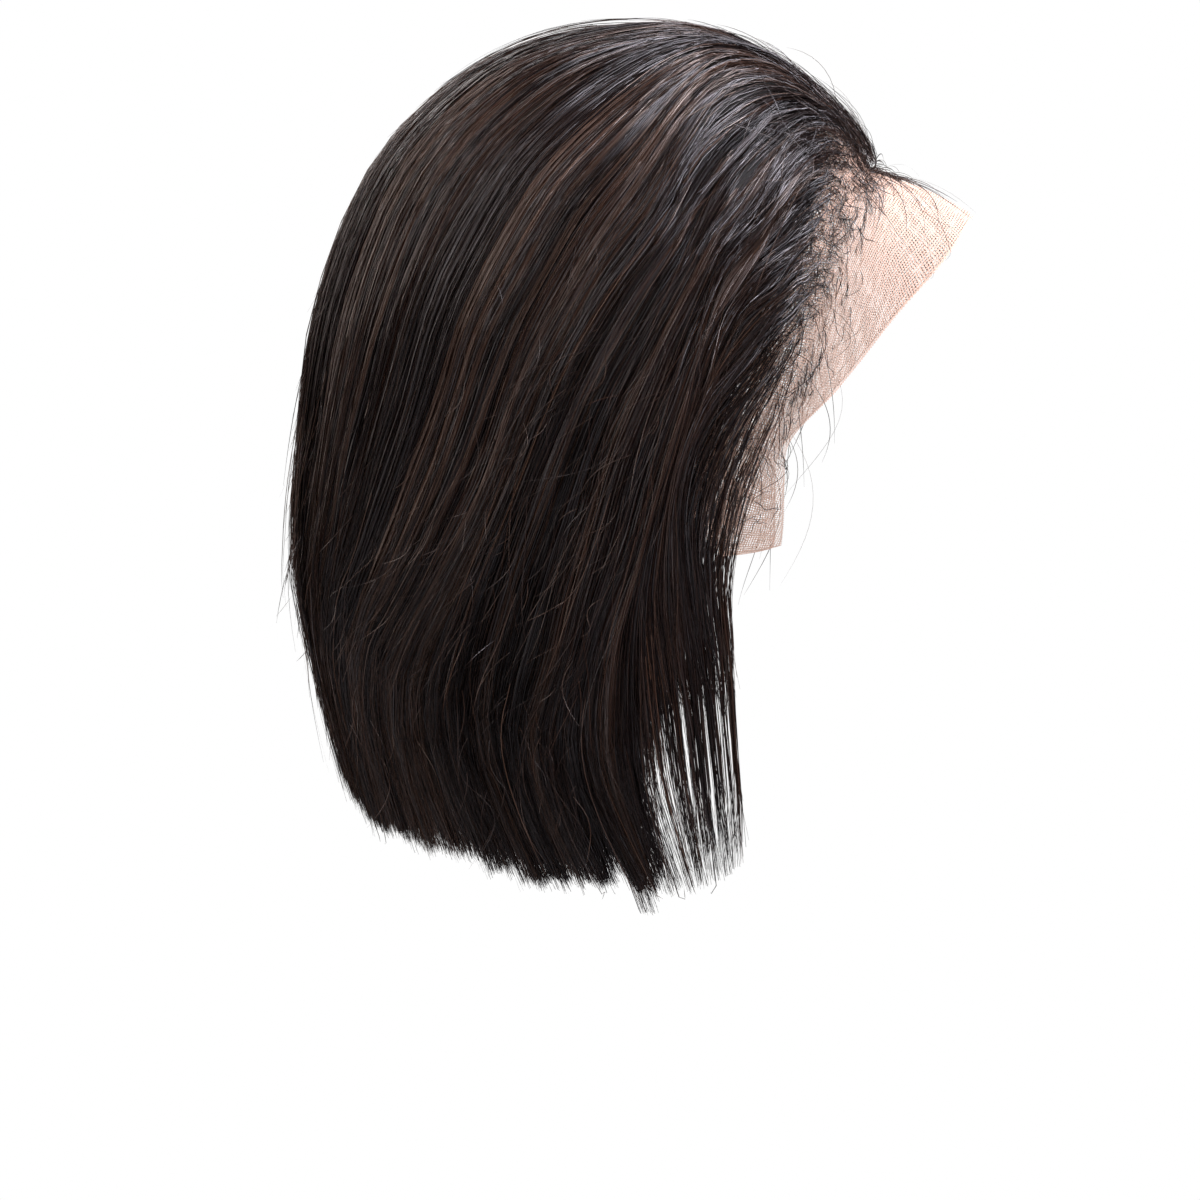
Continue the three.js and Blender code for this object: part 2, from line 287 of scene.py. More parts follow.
def lock_relief(lands):
    """Share of the lock's rise that is sunk at each landing azimuth, 0 on a ridge."""
    sunk = np.zeros_like(lands)
    before = 0
    for _, start, stop, locks, _ in PANELS:
        inside = (lands >= start) & (lands <= stop)
        place = np.clip((lands[inside] - start) / (stop - start) * locks, 0, locks - 1e-6)
        number = (before + np.floor(place).astype(int)) % len(LOCK_HEIGHTS)
        ridge = np.sin(np.pi * (place % 1)) ** 0.8
        sunk[inside] = 1 - ridge * np.array(LOCK_HEIGHTS)[number]
        before += locks
    return sunk


def hair_field():
    """Outer and inner points on an even grid of landing azimuth by share of length, and the lengths."""
    lands = np.linspace(FRONT_LAND, BACK_LAND, FIELD_LANDS)
    points, over = strand_lines(lands)
    run = run_along(points, 1)
    over_head, whole = run[:, over], run[:, -1]
    spaced = np.empty((len(lands), FIELD_ROWS, 3))
    for n in range(len(lands)):
        for axis in range(3):
            spaced[n, :, axis] = np.interp(SHARES * whole[n], run[n], points[n, :, axis])
    length = SHARES[None] * col(whole)
    spine = spine_of(spaced)
    full = norm(spaced - spine)
    way = unit(spaced - spine)
    seat = worn_reach(spaced, way) + CAP_WALL + SEAT_GAP
    from_edge = away_of(lands) - FRONT_LAND
    grown = smooth(length / ROOT_RISE) * col(smooth(from_edge / FRONT_RISE))
    outer = np.maximum(seat + EDGE_WALL + (full - seat - EDGE_WALL) * grown, seat + EDGE_WALL)
    to_hem = smooth((length - col(over_head)) / col(whole - over_head))
    wall = (EDGE_WALL + (HAIR_WALL - EDGE_WALL) * grown) * (1 - to_hem) + TIP_WALL * to_hem
    inner = np.maximum(seat, outer - wall)
    groove = LOCK_RISE * col(lock_relief(lands)) * smooth(length / col(over_head))
    outer = outer - np.minimum(groove, (outer - inner) / 2)
    outer, inner = spine + way * outer[..., None], spine + way * inner[..., None]
    breadth = norm(np.gradient(inner, lands, axis=0))
    return {"lands": lands, "outer": outer, "inner": inner, "whole": whole, "breadth": breadth}


FIELD = hair_field()
LAND_STEP = (BACK_LAND - FRONT_LAND) / (FIELD_LANDS - 1)


def field_points(land, along, depth):
    """Points in the hair and their outward ways; depth 0 is its outer face and 1 its inner face."""
    a, b = (land - FRONT_LAND) / LAND_STEP, along * (FIELD_ROWS - 1)
    outer, inner = between(FIELD["outer"], a, b), between(FIELD["inner"], a, b)
    depth = depth[..., None]
    return outer * (1 - depth) + inner * depth, unit(outer - inner)


# By how high a hair lies, from -1 under the head's centre to 1 over it: those heights, then millimetres
# that it stands out at the back
FULLER = [-0.45, -0.25, -0.08, 0.2, 0.45, 0.6, 0.72, 0.85], [0, 0.7, 2, 2.2, 2.6, 2, 0.4, 0]


def fuller(points):
    """How much the loose hair stands out at the back of the crown, and lies down on top of it."""
    way = unit(points - CENTRE)
    out = np.interp(way[..., 2], *FULLER)
    top = smooth(way[..., 2], 0.8, 0.2) * smooth((0.2 - way[..., 0]) / 0.3)
    return out * MM * smooth(-way[..., 0] / 0.7) - 1.6 * MM * top


def drift_grid():
    rows = np.array(DRIFT, float)
    by_share = np.stack([curve(np.array(DRIFT_SHARES, float), row, SHARES) for row in rows[:, 1:]], axis=1)
    return np.stack([curve(rows[:, 0], row, AWAYS) for row in by_share], axis=1)


DRIFT_GRID = drift_grid()


def drift(land, along):
    """Degrees to add to landing azimuths for where the strands lie at shares of their length."""
    place = (away_of(land) - FRONT_LAND) / (180 - FRONT_LAND) * (DRIFT_COLUMNS - 1)
    return np.where(land < 180, 1, -1) * between(DRIFT_GRID, place, along * (FIELD_ROWS - 1))


def landing(place, share):
    """Landing azimuths of the strands that lie at the given places at the given shares of their length."""
    away = away_of(place)
    rows = np.clip(np.round(share * (FIELD_ROWS - 1)).astype(int), 0, FIELD_ROWS - 1)
    found = np.empty_like(away)
    for row in np.unique(rows):
        here = rows == row
        found[here] = np.interp(away[here], np.maximum.accumulate(AWAYS + DRIFT_GRID[:, row]), AWAYS)
    return np.where(place < 180, found, 360 - found)


def whole_at(land):
    return np.interp(land, FIELD["lands"], FIELD["whole"])


# Objects

def placed(name, data, location=(0, 0, 0), rotation=(0, 0, 0)):
    obj = bpy.data.objects.new(name, data)
    obj.location, obj.rotation_euler = location, rotation
    scene.collection.objects.link(obj)
    return obj


def add_uvs(mesh, name, uvs):
    mesh.uv_layers.new(name=name).data.foreach_set("uv", np.ascontiguousarray(uvs, np.float32).ravel())


def mesh_object(name, points, quads, uvs, material, smooth_faces=True):
    """An object from points (n, 3), quads (q, 4) and one UV for each quad corner (q, 4, 2)."""
    mesh = bpy.data.meshes.new(name)
    mesh.vertices.add(len(points))
    mesh.vertices.foreach_set("co", np.ascontiguousarray(points, np.float32).ravel())
    mesh.loops.add(len(quads) * 4)
    mesh.loops.foreach_set("vertex_index", np.ascontiguousarray(quads, np.int32).ravel())
    mesh.polygons.add(len(quads))
    mesh.polygons.foreach_set("loop_start", np.arange(len(quads), dtype=np.int32) * 4)
    mesh.update(calc_edges=True)
    add_uvs(mesh, "UVMap", uvs)
    mesh.polygons.foreach_set("use_smooth", np.full(len(quads), smooth_faces))
    mesh.materials.append(material)
    mesh.update()
    return placed(name, mesh)


ROUND = math.radians(52)
TILT = 0.07


def ribbons(points, out, width, roll, shade, lean=0, share=0):
    """Ribbons along strands (n, m, 3), lit as if they were round and not quite straight.
    Gives points, quads, UVs (the strand's shade, and its share of the way to the hem, which sets its
    painted shade) and normals."""
    n, m, _ = points.shape
    tilt = lean + col(bell(n, TILT)) + TILT * np.sin(
        even(m) * col(draw(n, 3, 14)) + col(draw(n, 0, ANY_PHASE)))
    along = unit(np.gradient(points, axis=1))
    side = unit(np.cross(along, out))
    up = unit(np.cross(side, along))
    across = side * np.cos(roll)[..., None] + up * np.sin(roll)[..., None]
    face = np.cross(across, along)
    half = across * width[..., None] / 2
    verts = np.stack([points - half, points + half], axis=2).reshape(-1, 3)
    middle, turn = face * math.cos(ROUND) + along * tilt[..., None], across * math.sin(ROUND)
    normals = unit(np.stack([middle - turn, middle + turn], axis=2)).reshape(-1, 3)
    row = col(np.arange(n)) * m * 2 + np.arange(m - 1)[None] * 2
    quads = np.stack([row, row + 1, row + 3, row + 2], axis=-1).reshape(-1, 4)
    share = np.broadcast_to(share, (n, m))
    uv = np.empty((n, m - 1, 4, 2))
    uv[..., 0] = shade[:, None, None]
    uv[..., :2, 1], uv[..., 2:, 1] = share[:, :-1, None], share[:, 1:, None]
    return verts, quads, uv.reshape(-1, 4, 2), normals


def joined(parts):
    """One set of points, quads, UVs and normals from several."""
    points, quads, uvs, normals = zip(*parts)
    starts = np.cumsum([0] + [len(part) for part in points[:-1]])
    quads = [part + start for part, start in zip(quads, starts)]
    return [np.vstack(column) for column in (points, quads, uvs, normals)]


# Strands

LAYERS = 8
OUTER_LAYERS = 4
OUTER_SHARE, OUTER_POINTS, INNER_POINTS = 0.27, 26, 10
CELL = 2.0  # degrees of landing azimuth in one small lock
CELLS = round(360 / CELL) + 4
SPREAD = 1.75 * MM  # of hair to one degree of landing azimuth
THREAD_LOCK = 0.7  # degrees of landing azimuth in one thin lock of the sparse front
LOCK_LONG = draw(round(360 / THREAD_LOCK) + 2)
LOCK_REACH = bell((LAYERS, CELLS), 0.007)
LOCK_TONE = draw((LAYERS, CELLS))
STREAK = 0.9  # degrees of landing azimuth in one streak of like colour
LOCK_BROWN = draw((LAYERS, round(360 / STREAK) + 4))
LOCK_STAND = bell((LAYERS, CELLS), 0.85) * MM
BUNDLE = 4.6  # degrees of landing azimuth in one bundle of locks of like colour
BUNDLE_TONE = draw(round(360 / BUNDLE) + 3)
TIP_LOCK = 2.7  # degrees of landing azimuth in one pointed lock at the hem
TIP_REACH = bell(round(360 / TIP_LOCK) + 3, 0.0095)
TIP_TURN = bell(round(360 / TIP_LOCK) + 3, 1.3)
SWAY, RISE, FINE_SWAY, FINE_RISE, LEAN = range(5)  # kinds of wave
WAVE_SIDE = 96
WAVES = bell((5 * LAYERS, WAVE_SIDE, WAVE_SIDE))
ROOTS_DRAWN = 110000
ROOTS_TO = 0.62  # share of the length up to which hair is rooted
HEM_SHARE = 0.85  # share of the length where a strand's place decides whether it reaches the hem
SHORTEST, LONGEST = 0.15, 1.02  # the least length of a strand and its furthest end, as shares of the length
STRAND_REACH, DENSE_REACH = 0.0065, 0.04  # spread of the ends at the hem, and of those before it
POINTS_UP = 1.45  # power that puts more of a strand's points near its root
EDGE_ROOTED = 16 * MM  # from the hair's front edge, where strands are tied down closest to the cap
KINK_FADE = 16 * MM
FRONT_FORWARD = 6.5 * MM  # how far the frontmost strands hang forward
PIECE_SHARE = 0.55  # of a strand's length, where it decides which piece the strand is in
LONG_FROM, LONG_KEPT = 0.985, 0.5  # past the first share of the length, strands keep this part of the rest
LOCK_POINT, TIP_POINT = 0.006, 0.017  # how much shorter a lock's sides are than its middle
DEEP_SHORTER, BACK_SHORTER = 0.012, 0.012  # how much shorter hair is inside, and at the back
LAYER_SHIFT = 0.37  # of a lock, from one layer's locks to the next's
SHORT_CHANCE, CURVED_TIPS, FLAT_CHANCE = 0.14, 0.3, 0.6  # shares of the strands
GOLDEN_CHANCE, GOLDEN_SHADE = (0.045, 0.006), (0.7, 0.92)
ANY_ROLL, ANY_PHASE = 1.57, 6.3  # radians

# By degrees of landing azimuth away from the face: those degrees, then the values
ROOT_RAMP = [70.5, 90, 110, 180], [38, 40, 26, 20]  # mm behind the hairline where hair is at its densest
ROOTS_KEPT = [70.5, 74, 78, 82, 86, 90], [0.05, 0.08, 0.16, 0.34, 0.68, 1]
THIN_LOCKS = [70.5, 86, 92, 98, 102], [0.55, 0.5, 0.65, 0.88, 1]  # share of the locks that reach the hem
# Share of a thin lock's strands that reach the hem, and the share of the length where the rest end
THIN_STRANDS = [70.5, 78, 82, 86, 90, 94, 98, 102], [0.8, 0.5, 0.22, 0.12, 0.13, 0.3, 0.62, 1]
DENSE_TO = [70.5, 78, 82, 86, 90, 94, 98, 102], [0.7, 0.7, 0.7, 0.73, 0.81, 0.89, 0.95, 0.99]
# Where the backing ends, the share of streaks that are brown, and how much lighter those are
BACKING_TO = ([70.5, 78, 82, 86, 90, 94, 98, 104, 112, 180],
              [0.4, 0.48, 0.54, 0.63, 0.72, 0.8, 0.87, 0.92, 0.945, 0.95])
BROWN_CHANCE = [80, 112, 126, 145, 180], [0.08, 0.1, 0.34, 0.46, 0.36]
BROWN_SHADE = [80, 110, 140, 180], [0.24, 0.25, 0.32, 0.27]


def wave(kind, layer, x, y):
    """Smooth random values of about unit size, with a bump for each unit of x and y."""
    table = kind * LAYERS + layer
    i, j = np.floor(x).astype(int), np.floor(y).astype(int)
    fx, fy = smooth(x - i), smooth(y - j)
    i, j = i % WAVE_SIDE, j % WAVE_SIDE
    k, l = (i + 1) % WAVE_SIDE, (j + 1) % WAVE_SIDE
    low = WAVES[table, i, j] * (1 - fx) + WAVES[table, k, j] * fx
    high = WAVES[table, i, l] * (1 - fx) + WAVES[table, k, l] * fx
    return low * (1 - fy) + high * fy


def taper(width, m, root=0.6, tip=0.32):
    """Widths along strands: narrower at the root, fine at the tip."""
    t = even(m)
    return col(width) * ((root + (1 - root) * smooth(t / 0.15)) * (1 - (1 - tip) * smooth(t, 0.72, 0.28)))


def sideways(points, out):
    return unit(np.cross(np.gradient(points, axis=1), out))


def roots():
    """Landing azimuths and root shares, even over the cap and thinning out towards the hairline."""
    lands = FIELD["lands"]
    last = int(ROOTS_TO * FIELD_ROWS)
    length = col(FIELD["whole"])
    from_hairline = SHARES[None, :last] * length
    away = col(away_of(lands))
    ramp_width = np.interp(away, *ROOT_RAMP) * MM
    edge = 0.035 + 0.965 * smooth((from_hairline - 2 * MM) / ramp_width)
    crowd = 1 + 1.5 * (1 - smooth(from_hairline / (60 * MM)))
    thin = 1 - 0.65 * smooth(SHARES[None, :last], 0.25, 0.35)
    weight = FIELD["breadth"][:, :last] * length * edge * crowd * thin
    flat = np.cumsum(weight.ravel())
    picked = np.searchsorted(flat, draw(ROOTS_DRAWN, 0, flat[-1]))
    i, j = np.divmod(picked, last)
    place = lands[i] + LAND_STEP * draw(ROOTS_DRAWN, -0.5, 0.5)
    share = np.clip(SHARES[j] + draw(ROOTS_DRAWN, -0.5, 0.5) / (FIELD_ROWS - 1), 0, 1)
    land = landing(np.clip(place, FRONT_LAND, BACK_LAND), share)
    kept = draw(ROOTS_DRAWN) < np.interp(away_of(land), *ROOTS_KEPT)
    return land[kept], share[kept]


def strand_ends(land, begin, rank, layer, cell, across_lock):
    """Shares of the length where strands end, with the pointed lock each is in and how far off its middle.
    Towards the face most of them end before the hem."""
    count = len(land)
    tip_place = land / TIP_LOCK + 0.3 * np.sin(land * 1.1) + 0.5 * (layer % 2)
    tip_cell = tip_place.astype(int)
    off_tip = (tip_place - tip_cell - 0.5) * TIP_LOCK
    low = away_of(land + drift(land, np.full(count, HEM_SHARE)))
    thin_lock = LOCK_LONG[(land / THREAD_LOCK).astype(int)] < np.interp(low, *THIN_LOCKS)
    long = thin_lock & (draw(count) < np.interp(low, *THIN_STRANDS))
    reach = 1.0 + LOCK_REACH[layer, cell] + bell(count, STRAND_REACH) - LOCK_POINT * across_lock ** 2
    reach = reach - DEEP_SHORTER * rank + TIP_REACH[tip_cell] - TIP_POINT * (off_tip / TIP_LOCK / 0.5) ** 2
    short = draw(count) < SHORT_CHANCE
    reach = reach - BACK_SHORTER * smooth(away_of(land), 125, 35)
    reach = np.where(reach > LONG_FROM, LONG_FROM + LONG_KEPT * (reach - LONG_FROM), reach)
    finish = np.where(short, reach * draw(count, 0.8, 1) ** 0.7, reach)
    finish = np.where(long, finish, reach * np.interp(low, *DENSE_TO) + bell(count, DENSE_REACH))
    return np.clip(finish, begin + SHORTEST, LONGEST), tip_cell, off_tip


def strand_shades(land, layer, cell):
    """Shades from 0, near black, to 1, golden: some bundles and streaks brown, a few strands golden, and
    the frontmost strands painted warmer for light shining through the thin fringe.
    """
    count, away = len(land), away_of(land)
    bundle = BUNDLE_TONE[(land / BUNDLE + 0.3 * np.sin(land * 0.7)).astype(int)]
    brown = np.interp(away, *BROWN_CHANCE) + 0.8 * (bundle - 0.5)
    warm = LOCK_BROWN[layer, (land / STREAK + LAYER_SHIFT * layer).astype(int)] < brown
    shade = 0.05 + 0.2 * LOCK_TONE[layer, cell] + 0.12 * bundle
    # Painted glow: strands at the front edge are made warmer for light that shines through the thin fringe
    fringe_glow = 1 - smooth(away, 71, 13)
    warmth = np.interp(away, *BROWN_SHADE)
    shade = shade + 0.17 * rng.beta(1.2, 2.2, count) + warmth * np.maximum(warm, 0.7 * fringe_glow)
    golden = draw(count) < np.where(warm, *GOLDEN_CHANCE)
    return np.clip(np.where(golden, draw(count, *GOLDEN_SHADE), shade), 0, 1)


def strands(land, begin, rank, m):
    """Strands in small locks; those rooted nearer the hairline lie further out. Rank 0 is outermost."""
    count, away = len(land), away_of(land)
    deep = np.maximum(rank - OUTER_SHARE, 0) / (1 - OUTER_SHARE)
    layer = np.where(rank < OUTER_SHARE, rank / OUTER_SHARE, 1 + deep) * OUTER_LAYERS
    layer = np.clip(layer.astype(int), 0, LAYERS - 1)
    cell = np.floor(land / CELL + LAYER_SHIFT * layer).astype(int)
    centre = (cell + 0.5 - LAYER_SHIFT * layer) * CELL
    offset = land - centre
    across_lock = np.abs(offset) / (0.5 * CELL)
    finish, tip_cell, off_tip = strand_ends(land, begin, rank, layer, cell, across_lock)

    # Where they lie: side by side in their lock, drawn together towards the tip, and deep or shallow
    t = even(m) ** POINTS_UP
    along = col(begin) + col(finish - begin) * t
    whole = col(whole_at(land))
    length = along * whole
    from_root = length - col(begin) * whole
    drawn = 1 - 0.55 * smooth(along, 0.6, 0.4)
    gathered = 0.5 * smooth(along, 0.86, 0.14)
    ramped = smooth(from_root / (30 * MM))
    wander = col(centre) + col(offset) * drawn + drift(col(land), along)
    wander = wander - col(off_tip) * gathered + col(bell(count, 0.25)) * along
    near_cap = begin * whole[:, 0] < EDGE_ROOTED
    resting = np.clip(0.02 + 0.9 * rank + bell(count, 0.03) + 0.04 * across_lock ** 2, 0, 0.97)
    rise = (12 + 33 * smooth(begin * whole[:, 0] / (60 * MM))) * MM
    depth = 1 - (1 - col(resting)) * smooth(from_root / col(rise))
    points, out = field_points(wander, along, depth)

    # Their waves, lively near the root and calm further down; x and y are millimetres over the hair
    x, y = col(land * SPREAD / MM), length / MM
    layers = col(layer)
    lively = 1 - 0.84 * smooth(length, 45 * MM, 100 * MM)
    sway = 2.0 * wave(SWAY, layers, x / 8, y / 34) + 0.95 * wave(FINE_SWAY, layers, x / 2.4, y / 16)
    lift = 1.4 * wave(RISE, layers, x / 7, y / 36) + 0.6 * wave(FINE_RISE, layers, x / 2.1, y / 18) - 0.8
    lean = 0.15 * wave(LEAN, layers, x / 3.2, y / 28) * (0.4 + 0.6 * lively)
    outermost = (1 - col(rank)) ** 2
    hem_close = 1 - 0.5 * smooth(along, 0.85, 0.15)
    lift = (lift * MM + col(LOCK_STAND[layer, cell])) * lively * ramped * hem_close * outermost
    own = 0.13 + 0.6 * (1 - smooth(length, 30 * MM, 100 * MM))
    own = own * np.sin(y / col(draw(count, 6, 18)) + col(draw(count, 0, ANY_PHASE)))
    sway = (sway * lively + own) * MM * ramped
    tips = col(np.where(draw(count) < CURVED_TIPS, draw(count, 0, 3.4), 0)) * outermost
    at_tip = smooth(t, 0.86, 0.14)
    lift = lift + tips * MM * at_tip
    sway = sway + col(bell(count, 0.9) + TIP_TURN[tip_cell]) * MM * at_tip
    seated = col(np.where(near_cap, 1.6, 1.1)) * MM * (1 - smooth(from_root / (7 * MM)))
    beside = sideways(points, out)
    lift = lift + fuller(points) * ramped * (1 - col(rank))
    points = points + out * (lift - seated)[..., None] + beside * sway[..., None]

    # Past the hem they hang straight down, and the frontmost ones hang forward
    points[..., 2] -= np.maximum(along - 1, 0) * whole
    forward = col(1 - smooth(away, 71, 11)) * smooth(-points[..., 2], 160 * MM, 75 * MM)
    points[..., 0] += FRONT_FORWARD * forward

    # Kinks near the root
    kink = draw(count, 0.3, 1.2) * MM * np.where(near_cap, 1.3, 0.4)
    curly = np.sin(from_root / col(draw(count, 1.1, 3.6) * MM) + col(draw(count, 0, ANY_PHASE)))
    points = points + beside * (col(kink) * curly * np.exp(-from_root / KINK_FADE))[..., None]

    shade = strand_shades(land, layer, cell)
    flat = draw(count) < FLAT_CHANCE
    roll = col(np.where(flat, bell(count, 0.4), draw(count, -ANY_ROLL, ANY_ROLL)))
    roll = roll + 0.35 * np.sin(t * col(draw(count, 1, 6)))
    width = draw(count, 0.24, 0.46) * MM
    # The share that sets the painted shade is cut for the frontmost strands, so low down they are darkened
    # less
    return ribbons(points, out, taper(width, m), roll, shade, lean,
                   along * col(0.7 + 0.3 * smooth(away, 84, 22)))


def panel_strands(land, begin):
    """All strands of one panel, the outer ones with more points."""
    count = len(land)
    order = np.argsort(np.argsort(begin + bell(count, 0.03)))
    rank = (order + 0.5) / count
    outer = rank < OUTER_SHARE
    return joined([
        strands(land[outer], begin[outer], rank[outer], OUTER_POINTS),
        strands(land[~outer], begin[~outer], rank[~outer], INNER_POINTS),
    ])


BARE = 15  # degrees of landing azimuth at the front with no backing


def backing(start, stop, columns=26, rows=36):
    """The dense hair under the loose strands: a closed wall inside the panel's own."""
    lands = np.linspace(max(start, FRONT_LAND + BARE), min(stop, BACK_LAND - BARE), columns)
    away = away_of(lands)
    uneven = 0.014 * np.abs(np.sin(lands * 1.9)) + 0.01 * np.abs(np.sin(lands * 5.3))
    end = np.interp(away, *BACKING_TO) - uneven
    whole = whole_at(lands)
    first = (27 * MM + 12 * MM * (1 - smooth(away, 70.5, 12))) / whole
    along = col(first) + col(end - first) * even(rows)
    land = np.repeat(col(lands), rows, axis=1)
    to_front = 1 - smooth((along - col(first)) * col(whole) / (40 * MM))
    outer, _ = field_points(land, along, 0.34 + 0.5 * to_front)
    inner, _ = field_points(land, along, np.full_like(along, 0.92))
    return wall_between(outer, inner, land)


def outward(grid, away):
    """Unit normals of a grid of points, on the side that the ways given are on."""
    facing = unit(np.cross(*np.gradient(grid, axis=(0, 1))))
    return facing * np.sign(np.sum(facing * away, axis=-1, keepdims=True))


def grid_quads(columns, rows):
    n = np.arange(columns * rows).reshape(columns, rows)
    return np.stack([n[:-1, :-1], n[1:, :-1], n[1:, 1:], n[:-1, 1:]], axis=-1).reshape(-1, 4)


def wall_between(outer, inner, land):
    """Points, quads, UVs and normals of a closed wall between two grids."""
    columns, rows, _ = outer.shape
    points = np.concatenate([outer.reshape(-1, 3), inner.reshape(-1, 3)])
    below = columns * rows
    index = np.arange(below).reshape(columns, rows)
    rim = np.concatenate([index[:, 0], index[-1, 1:], index[-2::-1, -1], index[0, -2::-1]])
    top = grid_quads(columns, rows)
    quads = np.vstack([
        top,
        top[:, [0, 3, 2, 1]] + below,
        np.stack([rim[:-1], rim[:-1] + below, rim[1:] + below, rim[1:]], axis=-1),
    ])
    along = np.repeat(even(rows), columns, axis=0)
    uv = np.tile(np.stack([land, along], axis=-1).reshape(-1, 2), (2, 1))
    facing = outward(outer, outer - inner).reshape(-1, 3)
    return points, quads, uv[quads], np.concatenate([facing, -facing])


# The lace

def turned(first, last, share):
    """Unit directions on the way from first to last."""
    angle = np.arccos(np.clip(np.sum(first * last, axis=-1, keepdims=True), -1, 1))
    return unit((np.sin((1 - share) * angle) * first + np.sin(share * angle) * last) / np.sin(angle))


def lace_surface(columns=181, flap_rows=30, seam_rows=24):
    """Points of the lace from its cut edge to its root line and on to the seam, for each step across."""
    across = np.linspace(-1, 1, columns)
    edge, root = way_at(lace_at, "edge", across), way_at(lace_at, "root", across)
    turn = np.radians(lace_at("seam_turn", across))
    seam = unit(np.stack([lace_at("seam_front", across), -np.sin(turn), np.cos(turn)], axis=-1))
    stand = FLAP_STAND * np.maximum(lace_at("stand", across), 0)
    rows = [(edge, root, row / flap_rows, stand) for row in range(flap_rows)]
    rows += [(root, seam, row / seam_rows, 0) for row in range(seam_rows + 1)]
    line = []
    for first, last, share, off in rows:
        way = turned(first, last, share)
        line.append(CENTRE + way * col(head_reach(way) + off * (1 - share) + LACE_LIFT))
    return np.stack(line, axis=1)


LACE_LIFT = 0.5 * MM
LACE_GRID = lace_surface()
LACE_OUT = outward(LACE_GRID, LACE_GRID - CENTRE)


def make_lace():
    """The lace as one sheet, with UVs in millimetres: over the sheet, and from the cut edge and across."""
    columns, rows, _ = LACE_GRID.shape
    middle = rows // 2
    ends, up = run_along(LACE_GRID, 0), run_along(LACE_GRID, 1)
    across = ends[:, [middle]] - ends[columns // 2, middle] + np.zeros((columns, rows))
    quads = grid_quads(columns, rows)
    net = np.stack([across, up - up[:, [middle]]], axis=-1).reshape(-1, 2) / MM
    to_edge = np.minimum(up, np.minimum(ends, ends[-1:] - ends)).reshape(-1) / MM
    piece = mesh_object("lace_net", LACE_GRID.reshape(-1, 3), quads, net[quads], lace_material())
    add_uvs(piece.data, "Edge", np.stack([to_edge, across.reshape(-1) / MM], axis=-1)[quads])
    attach(piece, "root")
    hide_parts("lace_front")


def lace_points(a, b, lift):
    """Points over the lace at fractional columns and rows, lifted off it."""
    out = unit(between(LACE_OUT, a, b))
    return between(LACE_GRID, a, b) + out * lift[..., None], out


def line_on_lace():
    """For each point of the lace: millimetres in front of the hairline and of the hair's front edges over
    the temples, and the hair's way there, as an angle from the way across the lace."""
    inner = FIELD["inner"]
    last = int(0.42 * FIELD_ROWS)
    flow = unit(np.gradient(inner, axis=1))
    points = np.concatenate([inner[0, last:0:-1], inner[:, 0], inner[-1, 1:last]])
    ways = np.concatenate([flow[0, last:0:-1], flow[:, 3], flow[-1, 1:last]])
    grid = LACE_GRID.reshape(-1, 3)
    near = np.concatenate([np.argmin(((col(part) - points[None]) ** 2).sum(axis=2), axis=1)
                           for part in np.array_split(grid, 10)])
    offset = grid - points[near]
    flow = ways[near]
    ahead = -np.sum(offset * flow, axis=1)
    gap = norm(offset)
    nose = unit(np.cross(LACE_OUT.reshape(-1, 3), flow))
    nose = nose * np.sign(nose[:, :1] + 1e-9)
    beyond = np.sum(offset * nose, axis=1)
    gap = np.where((ahead > 0) | (beyond > 0), gap, -gap)
    over = unit(np.gradient(LACE_GRID, axis=0)).reshape(-1, 3)
    up = unit(np.gradient(LACE_GRID, axis=1)).reshape(-1, 3)
    shape = LACE_GRID.shape[:2]
    turn = np.arctan2(np.sum(flow * up, axis=1), np.sum(flow * over, axis=1))
    return (gap / MM).reshape(shape), turn.reshape(shape)


# Materials

def new_material(name):
    material = bpy.data.materials.new(name)
    material.use_nodes = True
    tree = material.node_tree
    return material, tree, tree.nodes["Principled BSDF"]


def feed(made, inputs):
    """Link or set a node's inputs, each given as a socket or a value."""
    for key, given in dict(inputs).items():
        if isinstance(given, bpy.types.NodeSocket):
            made.id_data.links.new(given, made.inputs[key])
        else:
            made.inputs[key].default_value = given


def node(tree, kind, inputs=(), **settings):
    made = tree.nodes.new("ShaderNode" + kind)
    for key, value in settings.items():
        setattr(made, key, value)
    feed(made, inputs)
    return made


def maths(operation, *values):
    return node(values[0].id_data, "Math", enumerate(values), operation=operation).outputs[0]


def mapped(source, start, stop, low=0, high=1, **settings):
    """A value that runs from low to high while the source runs from start to stop."""
    ends = {0: source, "From Min": start, "From Max": stop, "To Min": low, "To Max": high}
    return node(source.id_data, "MapRange", ends, **settings).outputs[0]


def uv_parts(tree, name="UVMap"):
    uv = node(tree, "UVMap", uv_map=name).outputs[0]
    parts = node(tree, "SeparateXYZ", {0: uv}).outputs
    return uv, parts[0], parts[1]


def bumped(height, strength, distance):
    settings = {"Strength": strength, "Distance": distance, "Height": height}
    return node(height.id_data, "Bump", settings).outputs[0]


def ramp(stops, source):
    made = node(source.id_data, "ValToRGB", {0: source})
    elements = made.color_ramp.elements
    while len(elements) < len(stops):
        elements.new(0.5)
    for element, (place, colour) in zip(elements, stops):
        element.position = place
        element.color = (*colour, 1)
    return made.outputs[0]


# Painted shade along the hair's length: how bright its colour and gloss are against its brightest part,
# darkest low down towards the hem
HAIR_PAINTED_SHADE = [(place, (light,) * 3) for place, light in [
    (0, 0.97), (0.14, 1), (0.4, 1), (0.62, 0.95), (0.8, 0.58), (0.94, 0.72)]]
